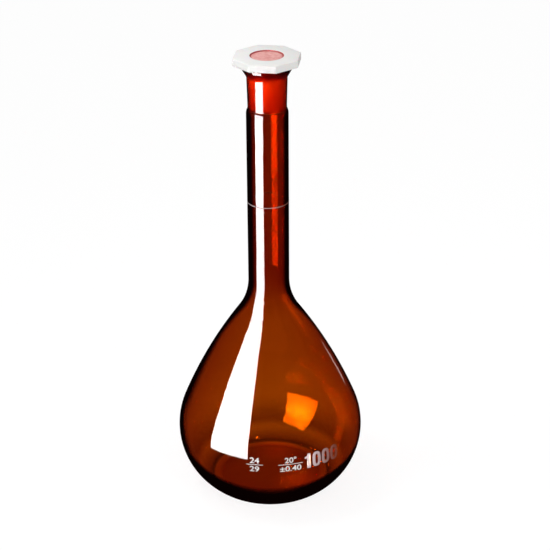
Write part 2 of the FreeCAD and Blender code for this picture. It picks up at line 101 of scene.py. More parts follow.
# Steps along the curves, segments round the axis, and the smallest sizes in millimetres
DOME_STEPS = 14
HEEL_STEPS = 12
BELLY_STEPS = 48
SHOULDER_STEPS = 40
SWEEP_STEPS = 20
ROLL_STEPS = 8
QUARTER_STEPS = 6
BEND_STEPS = 5
EDGE_STEPS = 4
FINE_STEPS = 3
GLASS_SEGMENTS = 160
DISC_SEGMENTS = 120
POLE_RADIUS = 0.001
WELD_DISTANCE = 0.0005

# Centres of the arcs that the two faces of the glass share
DOME_ARC = (FOOT_INNER ** 2 + PUSH_UP ** 2) / (2 * PUSH_UP)
DOME_CENTRE = (0.0, PUSH_UP - DOME_ARC)
BELLY_CENTRE = (BELLY_RADIUS - BELLY_ARC, BELLY_HEIGHT)
SHOULDER_TURN = math.asin((SHOULDER_START - BELLY_HEIGHT) / BELLY_ARC)
SHOULDER_WAY = (math.cos(SHOULDER_TURN), math.sin(SHOULDER_TURN))
SHOULDER_CENTRE = tuple(c - (SHOULDER_ARC - BELLY_ARC) * w for c, w in zip(BELLY_CENTRE, SHOULDER_WAY))


def along(centre, other, distance):
    """Point at this distance from centre in the direction of other."""
    length = math.dist(centre, other)
    return tuple(c + (o - c) * distance / length for c, o in zip(centre, other))


def arc(centre, start, end, steps):
    """Points on the short arc about centre from start to end."""
    radius = math.dist(centre, start)
    first = math.atan2(start[1] - centre[1], start[0] - centre[0])
    last = math.atan2(end[1] - centre[1], end[0] - centre[0])
    sweep = math.remainder(last - first, FULL_TURN)
    angles = [first + sweep * step / steps for step in range(steps + 1)]
    return [(centre[0] + radius * math.cos(a), centre[1] + radius * math.sin(a)) for a in angles]


def rounded(before, corner, after, radius, steps):
    """Points of the arc that rounds a corner between two straight runs."""
    one = Vector(before) - Vector(corner)
    two = Vector(after) - Vector(corner)
    half = one.angle(two) / 2
    start = along(corner, before, radius / math.tan(half))
    end = along(corner, after, radius / math.tan(half))
    middle = Vector(start) + Vector(end) - 2 * Vector(corner)
    centre = along(corner, tuple(Vector(corner) + middle), radius / math.sin(half))
    return arc(centre, start, end, steps)


def bulb_and_neck(inset, neck_inset):
    """Ends of the belly and shoulder, centre of the sweep and foot of the neck, inside the outer face."""
    belly_end = tuple(c + (BELLY_ARC - inset) * w for c, w in zip(BELLY_CENTRE, SHOULDER_WAY))
    across = NECK_RADIUS + NECK_SWEEP
    reach = SHOULDER_ARC - inset + NECK_SWEEP + neck_inset
    rise = math.sqrt(reach ** 2 - (across - SHOULDER_CENTRE[0]) ** 2)
    sweep_centre = (across, SHOULDER_CENTRE[1] + rise)
    shoulder_end = along(SHOULDER_CENTRE, sweep_centre, SHOULDER_ARC - inset)
    return belly_end, shoulder_end, sweep_centre, (NECK_RADIUS - neck_inset, sweep_centre[1])


def roll_in(radius, arc_radius, end):
    """Centre and start of the arc that rolls an upright wall inwards to an end point."""
    across = radius - arc_radius
    centre = (across, end[1] - math.sqrt(arc_radius ** 2 - (end[0] - across) ** 2))
    return centre, (radius, centre[1])


def outer_face():
    """Half section of the flask from the axis under the base, round the outside and over the lip."""
    heel_run = math.sqrt((BELLY_ARC - HEEL_ARC) ** 2 - (BELLY_HEIGHT - HEEL_ARC) ** 2)
    heel_centre = (BELLY_CENTRE[0] + heel_run, HEEL_ARC)
    foot_edge = (FOOT_INNER, 0.0)
    foot_end = (heel_centre[0], 0.0)
    heel_end = along(BELLY_CENTRE, heel_centre, BELLY_ARC)
    belly_end, shoulder_end, sweep_centre, neck_start = bulb_and_neck(0.0, 0.0)
    neck_top_centre, neck_end = roll_in(NECK_RADIUS, NECK_TOP_ARC, CREASE)
    neck_top = arc(neck_top_centre, neck_end, CREASE, ROLL_STEPS)
    lip_top = (LIP[0], RIM_HEIGHT)
    mouth = (GROUND_LOW[0] + (RIM_HEIGHT - GROUND_LOW[1]) * TAPER_SLOPE, RIM_HEIGHT)
    mouth_round = RIM_HEIGHT - GROUND_LOW[1] - GROUND_LENGTH
    outline = arc(DOME_CENTRE, (0.0, PUSH_UP), foot_edge, DOME_STEPS)[:-1]
    outline += rounded(outline[-1], foot_edge, foot_end, FOOT_ROUND, FINE_STEPS)
    outline += arc(heel_centre, foot_end, heel_end, HEEL_STEPS)
    outline += arc(BELLY_CENTRE, heel_end, belly_end, BELLY_STEPS)[1:]
    outline += arc(SHOULDER_CENTRE, belly_end, shoulder_end, SHOULDER_STEPS)[1:]
    outline += arc(sweep_centre, shoulder_end, neck_start, SWEEP_STEPS)[1:]
    outline += neck_top[:-1]
    outline += rounded(neck_top[-2], CREASE, FLARE, CREASE_ROUND, BEND_STEPS)
    outline += rounded(CREASE, FLARE, LIP, CREASE_ROUND, BEND_STEPS)
    outline += rounded(FLARE, LIP, lip_top, LIP_ROUND, QUARTER_STEPS)
    outline += rounded(LIP, lip_top, mouth, LIP_ROUND, ROLL_STEPS)
    return outline + rounded(lip_top, mouth, GROUND_LOW, mouth_round, ROLL_STEPS)


def inner_face():
    """Half section of the flask from the foot of the ground cone, down the inside, to the axis."""
    belly_end, shoulder_end, sweep_centre, bore_start = bulb_and_neck(BULB_WALL, NECK_WALL)
    bore_top_centre, bore_end = roll_in(NECK_RADIUS - NECK_WALL, BORE_TOP_ARC, GROUND_LOW)
    floor_arc = DOME_ARC + BASE_WALL
    floor_reach = floor_arc + FLOOR_HEEL
    belly_reach = BELLY_ARC - BULB_WALL - FLOOR_HEEL
    apart = math.dist(DOME_CENTRE, BELLY_CENTRE)
    way = tuple((b - d) / apart for d, b in zip(DOME_CENTRE, BELLY_CENTRE))
    step = (floor_reach ** 2 - belly_reach ** 2 + apart ** 2) / (2 * apart)
    aside = math.sqrt(floor_reach ** 2 - step ** 2)
    heel_across = DOME_CENTRE[0] + step * way[0] + aside * way[1]
    heel_centre = (heel_across, DOME_CENTRE[1] + step * way[1] - aside * way[0])
    floor_end = along(DOME_CENTRE, heel_centre, floor_arc)
    heel_end = along(BELLY_CENTRE, heel_centre, BELLY_ARC - BULB_WALL)
    outline = arc(bore_top_centre, GROUND_LOW, bore_end, ROLL_STEPS)
    outline += arc(sweep_centre, bore_start, shoulder_end, SWEEP_STEPS)
    outline += arc(SHOULDER_CENTRE, shoulder_end, belly_end, SHOULDER_STEPS)[1:]
    outline += arc(BELLY_CENTRE, belly_end, heel_end, BELLY_STEPS)[1:]
    outline += arc(heel_centre, heel_end, floor_end, HEEL_STEPS)[1:]
    return outline + arc(DOME_CENTRE, floor_end, (0.0, PUSH_UP + BASE_WALL), DOME_STEPS)[1:]


def new_piece(name, form):
    """Object from a finished bmesh, smooth all over, with its faces turned outwards."""
    bmesh.ops.recalc_face_normals(form, faces=form.faces)
    for face in form.faces:
        face.smooth = True
    mesh = bpy.data.meshes.new(name)
    form.to_mesh(mesh)
    form.free()
    piece = bpy.data.objects.new(name, mesh)
    bpy.context.scene.collection.objects.link(piece)
    return piece


def stacked(name, rings):
    """Closed skin over rings of points. A ring of one point is a pole, and the last may repeat the first."""
    form = bmesh.new()
    rows = [[form.verts.new(Vector(point) * MM) for point in ring] for ring in rings]
    for low, high in zip(rows, rows[1:]):
        count = max(len(low), len(high))
        for here in range(count):
            following = (here + 1) % count
            corners = [low[here % len(low)], low[following % len(low)]]
            corners += [high[following % len(high)], high[here % len(high)]]
            form.faces.new(list(dict.fromkeys(corners)))
    bmesh.ops.remove_doubles(form, verts=form.verts, dist=MM * WELD_DISTANCE)
    return new_piece(name, form)


def circle(radius, height, angles):
    """Ring of points about Z, or one point on the axis."""
    if radius < POLE_RADIUS:
        return [(0.0, 0.0, height)]
    return [(radius * math.cos(a), radius * math.sin(a), height) for a in angles]


def turned(name, outline, segments):
    """Body turned about Z from a half outline of (radius, height)."""
    angles = [FULL_TURN * step / segments for step in range(segments)]
    return stacked(name, [circle(radius, height, angles) for radius, height in outline])


def carried(piece, body, slot, *nodes):
    """Fix a piece to its body and let it stand for its solids; its slot is not used."""
    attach(piece, body)
    if nodes:
        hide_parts(*nodes)


# Glass and the graduation line
flask_glass = turned("flask_glass", outer_face() + inner_face(), GLASS_SEGMENTS)
carried(flask_glass, "vessel", "amber_glass", "flask")
line_inner = NECK_RADIUS - MARK_DEPTH
line_outer = NECK_RADIUS + MARK_PROUD
line_low = MARK_HEIGHT - MARK_WIDTH / 2
line_high = MARK_HEIGHT + MARK_WIDTH / 2
low_edge = (line_outer, line_low)
high_edge = (line_outer, line_high)
line_section = [(line_inner, line_low), (NECK_RADIUS, line_low)]
line_section += rounded((NECK_RADIUS, line_low), low_edge, high_edge, MARK_PROUD, FINE_STEPS)
line_section += rounded(low_edge, high_edge, (NECK_RADIUS, line_high), MARK_PROUD, FINE_STEPS)
line_section += [(line_inner, line_high), (line_inner, line_low)]
enamel_line = turned("enamel_line", line_section, GLASS_SEGMENTS)
carried(enamel_line, "vessel", "white_enamel", "ring_mark")

# Stopper: octagonal head with a recess, and a hollow shank
SIDES = 8
HALF_SIDE = math.pi / SIDES
CORNER_TURNS = [math.radians(turn) for turn in (0.7, 1.4, 2.4, 4.5, 7.5, 11.0, 15.0, 19.0)]
SIDE_TURNS = [-HALF_SIDE] + [-turn for turn in reversed(CORNER_TURNS)] + [0.0] + CORNER_TURNS
HEAD_ANGLES = [HEAD_TURN + side * 2 * HALF_SIDE + turn for side in range(SIDES) for turn in SIDE_TURNS]


def octagon(inset, height):
    """Ring round the head, moved in by inset, with its corners rounded."""
    flat = HEAD_CORNER * math.cos(HALF_SIDE) - inset
    curve = max(HEAD_CORNER_ROUND - inset, SHARPEST_CORNER)
    middle = (flat - curve) / math.cos(HALF_SIDE)
    round_end = math.atan2(curve * math.sin(HALF_SIDE), middle + curve * math.cos(HALF_SIDE))
    ring = []
    for angle in HEAD_ANGLES:
        aside = abs(math.remainder(angle - HEAD_TURN, 2 * HALF_SIDE))
        radius = flat / math.cos(HALF_SIDE - aside)
        if aside < round_end:
            radius = middle * math.cos(aside) + math.sqrt(curve ** 2 - (middle * math.sin(aside)) ** 2)
        ring.append((radius * math.cos(angle), radius * math.sin(angle), height))
    return ring


def stopper_rings():
    """Rings from the floor of the recess, over the head and down the shank, to the roof of the hollow."""
    flat_start = (RECESS_RADIUS + HEAD_EDGE * 2, HEAD_TOP)
    recess = [(0.0, RECESS_FLOOR), (RECESS_RADIUS, RECESS_FLOOR)]
    recess += rounded(recess[-1], (RECESS_RADIUS, HEAD_TOP), flat_start, RECESS_ROUND, EDGE_STEPS)
    recess.append(flat_start)
    quarter = [math.pi / 2 * step / QUARTER_STEPS for step in range(QUARTER_STEPS + 1)]
    edge = [(HEAD_EDGE * (1 - math.sin(a)), HEAD_EDGE * (1 - math.cos(a))) for a in quarter]
    shank_radius = GROUND_LOW[0] - PLUG_CLEARANCE
    shank_top = (shank_radius + (HEAD_UNDERSIDE - GROUND_LOW[1]) * TAPER_SLOPE, HEAD_UNDERSIDE)
    shank_end = (shank_radius + (PLUG_END - GROUND_LOW[1]) * TAPER_SLOPE, PLUG_END)
    hollow_end = (shank_end[0] - PLUG_WALL, PLUG_END)
    hollow_top = (hollow_end[0] + (PLUG_ROOF - PLUG_END) * TAPER_SLOPE, PLUG_ROOF)
    roof_middle = (0.0, PLUG_ROOF)
    shank = rounded((HEAD_CORNER, HEAD_UNDERSIDE), shank_top, shank_end, SHANK_ROOT_ROUND, EDGE_STEPS)
    shank += rounded(shank_top, shank_end, hollow_end, PLUG_BEVEL, BEND_STEPS)
    shank += rounded(shank[-1], hollow_end, hollow_top, HOLLOW_EDGE_ROUND, FINE_STEPS)
    shank += rounded(hollow_end, hollow_top, roof_middle, HOLLOW_ROOF_ROUND, EDGE_STEPS)
    shank.append(roof_middle)
    rings = [circle(radius, height, HEAD_ANGLES) for radius, height in recess]
    rings += [octagon(inset, HEAD_TOP - drop) for inset, drop in edge]
    rings += [octagon(inset, HEAD_UNDERSIDE + rise) for inset, rise in reversed(edge)]
    return rings + [circle(radius, height, HEAD_ANGLES) for radius, height in shank]


stopper_moulding = stacked("stopper_moulding", stopper_rings())
carried(stopper_moulding, "closure", "white_polyethylene", "stopper")
disc_foot = (DISC_RADIUS, RECESS_FLOOR)
disc_middle = (0.0, DISC_TOP)
disc_section = [(0.0, RECESS_FLOOR), disc_foot]
disc_section += rounded(disc_foot, (DISC_RADIUS, DISC_TOP), disc_middle, DISC_BEVEL, EDGE_STEPS)
disc_section += [(DISC_RADIUS * share, DISC_TOP) for share in DISC_RINGS]
disc_section.append(disc_middle)
colour_disc = turned("colour_disc", disc_section, DISC_SEGMENTS)
carried(colour_disc, "closure", "red_plastic", "stopper_disc")

# Printed numbers on the belly, in millimetres and degrees
PRINT_STEP = 0.7
PRINT_LIFT = 0.03
PRINT_HALF = 0.02
PRINT_BOLD = 0.02
FIGURE_TALL = 4.1
RULE_THICK = 0.45
LEFT_TURN = -9.8
RIGHT_TURN = 12.3
CAPACITY_TURN = 33.4
CAPACITY_TALL = 10.8
ONE_LEFT = -13.3
ONE_OUTLINE = ((0.0, 0.68), (0.0, 0.8), (0.17, 0.87), (0.24, 1.0),
               (0.4, 1.0), (0.4, 0.0), (0.16, 0.0), (0.16, 0.7))
ZERO_MIDDLES = (-4.5, 2.7, 9.9)
ZERO_MIDDLE_UP = 0.5
ZERO_HALVES = ((0.29, 0.5), (0.09, 0.33))
ZERO_STEPS = 48
ZERO_BULGE = 0.7


def wrapped(name, form, turn, height):
    """Piece from a flat print, bent round the belly with its origin at this turn and height."""
    left = min(vert.co.x for vert in form.verts)
    right = max(vert.co.x for vert in form.verts)
    for cut in range(1, int((right - left) / PRINT_STEP) + 1):
        everything = form.verts[:] + form.edges[:] + form.faces[:]
        cut_place = (left + cut * PRINT_STEP, 0, 0)
        bmesh.ops.bisect_plane(form, geom=everything, plane_co=cut_place, plane_no=(1, 0, 0))
    base = math.asin((height - BELLY_HEIGHT) / BELLY_ARC)
    for vert in form.verts:
        rise = base + vert.co.y / BELLY_ARC
        reach = BELLY_ARC + PRINT_LIFT + vert.co.z
        radius = BELLY_CENTRE[0] + reach * math.cos(rise)
        around = math.radians(turn) + vert.co.x / BELLY_RADIUS
        up = BELLY_HEIGHT + reach * math.sin(rise)
        vert.co = Vector((radius * math.sin(around), -radius * math.cos(around), up)) * MM
    piece = new_piece(name, form)
    carried(piece, "vessel", "white_enamel")
    return piece


def number(name, text, wide, turn, height):
    """Printed figures of this width, centred on a turn, standing on a height."""
    curve = bpy.data.curves.new(name, "FONT")
    curve.body = text
    curve.align_x = "CENTER"
    curve.extrude = PRINT_HALF
    curve.offset = PRINT_BOLD
    holder = bpy.data.objects.new(name + "_flat", curve)
    bpy.context.scene.collection.objects.link(holder)
    bpy.context.view_layer.update()
    mesh = bpy.data.meshes.new_from_object(holder.evaluated_get(bpy.context.evaluated_depsgraph_get()))
    bpy.data.objects.remove(holder)
    bpy.data.curves.remove(curve)
    across = [vert.co.x for vert in mesh.vertices]
    up = [vert.co.y for vert in mesh.vertices]
    scale = (wide / (max(across) - min(across)), FIGURE_TALL / (max(up) - min(up)), 1.0, 1.0)
    shift = Matrix.Translation((-(max(across) + min(across)) / 2, -min(up), 0.0))
    mesh.transform(Matrix.Diagonal(scale) @ shift)
    form = bmesh.new()
    form.from_mesh(mesh)
    bpy.data.meshes.remove(mesh)
    return wrapped(name, form, turn, height)


def bulged(share):
    """Pushes a point of a circle outwards, for figures with straight sides."""
    return math.copysign(abs(share) ** ZERO_BULGE, share)


def bold_figures(name, height):
    """Bold narrow figures for 1000, drawn as outlines, standing on a height."""
    form = bmesh.new()
    one = [(x * CAPACITY_TALL + ONE_LEFT, y * CAPACITY_TALL, 0.0) for x, y in ONE_OUTLINE]
    form.faces.new([form.verts.new(corner) for corner in one])
    steps = [FULL_TURN * step / ZERO_STEPS for step in range(ZERO_STEPS)]
    for middle in ZERO_MIDDLES:
        rings = []
        for half_wide, half_tall in ZERO_HALVES:
            across = [middle + half_wide * CAPACITY_TALL * bulged(math.cos(a)) for a in steps]
            up = [(half_tall * bulged(math.sin(a)) + ZERO_MIDDLE_UP) * CAPACITY_TALL for a in steps]
            rings.append([form.verts.new((x, y, 0.0)) for x, y in zip(across, up)])
        outer, inner = rings
        for here in range(ZERO_STEPS):
            following = (here + 1) % ZERO_STEPS
            form.faces.new((outer[here], outer[following], inner[following], inner[here]))
    raised = bmesh.ops.extrude_face_region(form, geom=form.faces[:])["geom"]
    top = [part for part in raised if isinstance(part, bmesh.types.BMVert)]
    bmesh.ops.translate(form, vec=(0, 0, 2 * PRINT_HALF), verts=top)
    bmesh.ops.triangulate(form, faces=form.faces)
    return wrapped(name, form, CAPACITY_TURN, height)


def rule(name, wide, turn, height):
    """Printed bar of this width, centred on a turn and a height."""
    form = bmesh.new()
    bmesh.ops.create_cube(form, size=1.0)
    bmesh.ops.scale(form, vec=(wide, RULE_THICK, 2 * PRINT_HALF), verts=form.verts)
    return wrapped(name, form, turn, height)


capacity_print = bold_figures("print_capacity", height=40.2)
small_prints = [
    number("print_warmth", "20°", wide=8.0, turn=RIGHT_TURN, height=46.6),
    number("print_tolerance", "±0.40", wide=14.5, turn=RIGHT_TURN, height=40.4),
    rule("print_rule_right", wide=16.8, turn=RIGHT_TURN, height=45.6),
    number("print_socket_wide", "24", wide=6.4, turn=LEFT_TURN, height=46.8),
    number("print_socket_long", "29", wide=6.4, turn=LEFT_TURN, height=40.6),
    rule("print_rule_left", wide=11.2, turn=LEFT_TURN, height=45.8),
]

# Finishes: kinds of group sockets, then the grain that the opaque ones share
COLOUR = "NodeSocketColor"
NUMBER = "NodeSocketFloat"
PLACE = "NodeSocketVector"
WHITE = (1.0, 1.0, 1.0, 1.0)
CLOUD_DETAIL = 4.0
GRAIN_DETAIL = 2.0
CLOUD_TINT_RANGE = (0.35, 0.65)
CLOUD_GLOSS_RANGE = (0.3, 0.7)
GRAIN_DEPTH = 0.0001
ENAMEL_GRAIN = {"Cloud Scale": 600.0, "Grain Scale": 3000.0, "Smooth Roughness": 0.28, "Dull Roughness": 0.42}
ENAMEL_RELIEF = 0.15
SHADE_INPUTS = {"Colour": COLOUR, "Tint": COLOUR, "Start": NUMBER, "End": NUMBER}
# Painted shade in the recess of the stopper: a dark red tint on its wall, with a painted reflection of the
# red disc there, and round the edge of the disc
RECESS_SHADE_TINT = (0.5, 0.1, 0.1, 1.0)
RECESS_WALL_SHADE_REACH = (RECESS_RADIUS + 0.15, RECESS_RADIUS + 0.05)
DISC_EDGE_SHADE_REACH = (DISC_RADIUS - 1.5, DISC_RADIUS - 0.3)
# Painted shade over the prints: a dark tint that darkens the capacity figures and the graduation line towards
# the right
PRINT_SHADE_TINT = (0.2, 0.05, 0.03, 1.0)
CAPACITY_SHADE_ACROSS = (20.0, 44.0)
LINE_SHADE_ACROSS = (4.0, 13.0)

# Finish of the glass, with places in millimetres
SOCKET_INSET = 0.2
GROUND_BLUR = 0.3
GROUND_TINT = (1.0, 0.25, 0.12, 1.0)
GROUND_ROUGHNESS = 0.38
SMEAR_SCALE = 45.0
SMEAR_DETAIL = 5.0
SMEAR_RANGE = (0.5, 0.8)
SMEAR_ROUGHNESS = 0.03
WAVE_SCALE = 22.0
WAVE_DETAIL = 1.0
WAVE_STRENGTH = 0.001
WAVE_DEPTH = 0.002
# Painted shade in the heel: darker and greyer for the shadow under the flask, standing in part for thicker
# glass at the heel than the model has
HEEL_SHADE_HEIGHTS = (32.0, 8.0)
HEEL_SHADE_TINT = (0.42, 0.28, 0.26, 1.0)
NECK_HEIGHTS = (136.0, 156.0)
NECK_TINT = (0.92, 0.76, 0.8, 1.0)
# Painted shade in the base: dark rings by the distance from the axis
BASE_SHADE_HEIGHTS = (14.0, 8.0)
DARK_SHADE_RING = (0.08, 0.03, 0.03, 1.0)
BASE_SHADE_RINGS = ((30.0, WHITE), (38.8, WHITE), (40.7, DARK_SHADE_RING), (42.8, HEEL_SHADE_TINT), (50.0, WHITE))
GLASS_IOR = 1.473
AMBER = (0.845, 0.608, 0.0, 1.0)
AMBER_DENSITY = 2900.0
# Painted shade at the edges: a black matt surface for the eye where the glass is seen at a grazing angle
EDGE_SHADE_TINT = (0.003, 0.0005, 0.0005, 1.0)
EDGE_WIDTH = 0.2
FOOT_EDGE = (23.0, 38.0, 0.5, 0.18)
HIGHER_EDGES = ((112.0, 150.0, 0.35), (270.5, 273.5, -0.33), (288.0, 294.0, -0.3))
SIDE_EDGE = (-60.0, 60.0, 0.08, -0.08)
SIDE_EDGE_HEIGHTS = (25.0, 40.0)


def add_node(tree, kind, inputs=None, **settings):
    """Shader node with its settings and the values or links of its inputs."""
    node = tree.nodes.new(kind)
    for name, value in settings.items():
        setattr(node, name, value)
    for name, value in (inputs or {}).items():
        if isinstance(value, bpy.types.NodeSocket):
            tree.links.new(value, node.inputs[name])
        else:
            node.inputs[name].default_value = value
    return node


def new_material(name):
    """Material with an empty node tree, and that tree."""
    material = bpy.data.materials.new(name)
    material.use_nodes = True
    material.node_tree.nodes.clear()
    return material, material.node_tree


def new_group(name, inputs, outputs):
    """Node group with named inputs and outputs, and the sockets that give its inputs."""
    tree = bpy.data.node_groups.new(name, "ShaderNodeTree")
    for way, sockets in (("INPUT", inputs), ("OUTPUT", outputs)):
        for socket, kind in sockets.items():
            tree.interface.new_socket(socket, in_out=way, socket_type=kind)
    return tree, tree.nodes.new("NodeGroupInput").outputs


def finish_with(piece, material):
    """Give a piece this one material."""
    piece.data.materials.clear()
    piece.data.materials.append(material)


def maths(tree, operation, one, two):
    """Number from a calculation on two numbers."""
    return add_node(tree, "ShaderNodeMath", {0: one, 1: two}, operation=operation).outputs[0]


def blend(tree, share, first, second):
    """Number between two numbers."""
    return add_node(tree, "ShaderNodeMix", {"Factor": share, "A": first, "B": second}).outputs["Result"]


def tinted(tree, share, first, second):
    """Colour between two colours."""
    values = {"Factor": share, "A": first, "B": second}
    return add_node(tree, "ShaderNodeMix", values, data_type="RGBA").outputs["Result"]


def mapped(tree, value, start, end, low=0.0, high=1.0, way="LINEAR"):
    """Number that goes from low to high while a value goes from start to end."""
    values = {"Value": value, "From Min": start, "From Max": end, "To Min": low, "To Max": high}
    return add_node(tree, "ShaderNodeMapRange", values, interpolation_type=way).outputs[0]


def smooth(tree, value, start, end, low=0.0, high=1.0):
    """Like mapped, with soft ends."""
    return mapped(tree, value, start, end, low, high, "SMOOTHSTEP")


def span(tree, value, start, end, low=0.0, high=1.0):
    """Like smooth, with its start and end in millimetres."""
    return smooth(tree, value, start * MM, end * MM, low, high)


def noise(tree, place, scale, detail):
    """Cloudy number over the surface."""
    values = {"Vector": place, "Scale": scale, "Detail": detail}
    return add_node(tree, "ShaderNodeTexNoise", values).outputs["Fac"]


def object_place(tree):
    """Place on the piece."""
    return add_node(tree, "ShaderNodeTexCoord").outputs["Object"]


def axes(tree, place):
    """X, Y and Z of a place."""
    return add_node(tree, "ShaderNodeSeparateXYZ", {"Vector": place}).outputs


def distance_from(tree, place, point):
    """Distance of a place from a fixed point."""
    return add_node(tree, "ShaderNodeVectorMath", {0: place, 1: point}, operation="DISTANCE").outputs["Value"]


def axis_distance(tree, place):
    """Distance of a place from the axis of the flask."""
    flat = add_node(tree, "ShaderNodeVectorMath", {0: place, 1: (1.0, 1.0, 0.0)}, operation="MULTIPLY")
    flat_place = flat.outputs["Vector"]
    return add_node(tree, "ShaderNodeVectorMath", {0: flat_place}, operation="LENGTH").outputs["Value"]


def surface_grain():
    """Group: fine grain and broad cloudiness, as a colour, a roughness and a height."""
    inputs = {"Light Tint": COLOUR, "Dark Tint": COLOUR, "Cloud Scale": NUMBER, "Grain Scale": NUMBER,
              "Smooth Roughness": NUMBER, "Dull Roughness": NUMBER}
    outputs = {"Colour": COLOUR, "Roughness": NUMBER, "Height": NUMBER}
    tree, given = new_group("surface_grain", inputs, outputs)
    place = object_place(tree)
    cloud = noise(tree, place, given["Cloud Scale"], CLOUD_DETAIL)
    grain = noise(tree, place, given["Grain Scale"], GRAIN_DETAIL)
    share = mapped(tree, cloud, *CLOUD_TINT_RANGE)
    colour = tinted(tree, share, given["Light Tint"], given["Dark Tint"])
    rough = mapped(tree, cloud, *CLOUD_GLOSS_RANGE, given["Smooth Roughness"], given["Dull Roughness"])
    add_node(tree, "NodeGroupOutput", {"Colour": colour, "Roughness": rough, "Height": grain})
    return tree


def painted_print_shade():
    """Group: painted shade over a print, a dark tint that sets in between two places across the flask, darker
    towards the right.
    """
    tree, given = new_group("painted_print_shade", SHADE_INPUTS, {"Colour": COLOUR})
    across = axes(tree, object_place(tree))["X"]
    share = smooth(tree, across, given["Start"], given["End"])
    add_node(tree, "NodeGroupOutput", {"Colour": tinted(tree, share, given["Colour"], given["Tint"])})
    return tree


def painted_recess_shade():
    """Group: painted shade in the recess of the head, a dark red tint that sets in between two distances from
    the axis.
    """
    tree, given = new_group("painted_recess_shade", SHADE_INPUTS, {"Colour": COLOUR})
    place = object_place(tree)
    high = span(tree, axes(tree, place)["Z"], PLUG_ROOF, RECESS_FLOOR)
    across = smooth(tree, axis_distance(tree, place), given["Start"], given["End"])
    share = maths(tree, "MULTIPLY", high, across)
    add_node(tree, "NodeGroupOutput", {"Colour": tinted(tree, share, given["Colour"], given["Tint"])})
    return tree


SURFACE_GRAIN = surface_grain()
PAINTED_PRINT_SHADE = painted_print_shade()
PAINTED_RECESS_SHADE = painted_recess_shade()


def shade(group, tint, start, end):
    """A shading group with its tint and the two millimetres between which it sets in."""
    return group, {"Tint": tint, "Start": start * MM, "End": end * MM}


def grained(name, grain, bump, shading=None, constants=None):
    """Opaque finish with the shared grain in its colour, gloss and relief, and a shade over its colour."""
    material, tree = new_material(name)
    grainy = add_node(tree, "ShaderNodeGroup", grain, node_tree=SURFACE_GRAIN).outputs
    colour = grainy["Colour"]
    if shading:
        group, values = shading
        shaded = add_node(tree, "ShaderNodeGroup", {"Colour": colour, **values}, node_tree=group)
        colour = shaded.outputs["Colour"]
    bumps = {"Height": grainy["Height"], "Strength": bump, "Distance": GRAIN_DEPTH}
    relief = add_node(tree, "ShaderNodeBump", bumps).outputs["Normal"]
    looks = {"Base Color": colour, "Roughness": grainy["Roughness"], "Normal": relief, **(constants or {})}
    surface = add_node(tree, "ShaderNodeBsdfPrincipled", looks)
    add_node(tree, "ShaderNodeOutputMaterial", {"Surface": surface.outputs["BSDF"]})
    return material


def enamel(name, light, dark, shading=None):
    """White print in these two tints."""
    return grained(name, {"Light Tint": light, "Dark Tint": dark, **ENAMEL_GRAIN}, ENAMEL_RELIEF, shading)


def base_shade_rings(tree, reach):
    """Painted shade in the base: its colour by the distance from the axis, with dark rings."""
    first = BASE_SHADE_RINGS[0][0]
    last = BASE_SHADE_RINGS[-1][0]
    rings = add_node(tree, "ShaderNodeValToRGB", {"Fac": mapped(tree, reach, first * MM, last * MM)})
    stops = rings.color_ramp.elements
    for radius, tint in BASE_SHADE_RINGS[1:-1]:
        stops.new((radius - first) / (last - first)).color = tint
    stops[0].color = BASE_SHADE_RINGS[0][1]
    stops[-1].color = BASE_SHADE_RINGS[-1][1]
    return rings.outputs["Color"]


def wall_colour(tree, reach, height):
    """Colour of the clear glass, redder in the neck, with painted shade: the heel darker and greyer, and dark
    rings round the base.
    """
    wide = maths(tree, "GREATER_THAN", reach, FOOT_INNER * MM)
    heel = maths(tree, "MULTIPLY", wide, span(tree, height, *HEEL_SHADE_HEIGHTS))
    wall = tinted(tree, heel, WHITE, HEEL_SHADE_TINT)
    wall = tinted(tree, span(tree, height, *NECK_HEIGHTS), wall, NECK_TINT)
    return tinted(tree, span(tree, height, *BASE_SHADE_HEIGHTS), wall, base_shade_rings(tree, reach))


def edge_angle(tree, height, across):
    """Cosine to the eye at which the painted black rim sets in: wide at foot and neck, and less on the right.
    """
    angle = span(tree, height, *FOOT_EDGE)
    for start, end, change in HIGHER_EDGES:
        angle = maths(tree, "ADD", angle, span(tree, height, start, end, 0.0, change))
    side = maths(tree, "MULTIPLY", span(tree, across, *SIDE_EDGE), span(tree, height, *SIDE_EDGE_HEIGHTS))
    return maths(tree, "ADD", angle, side)


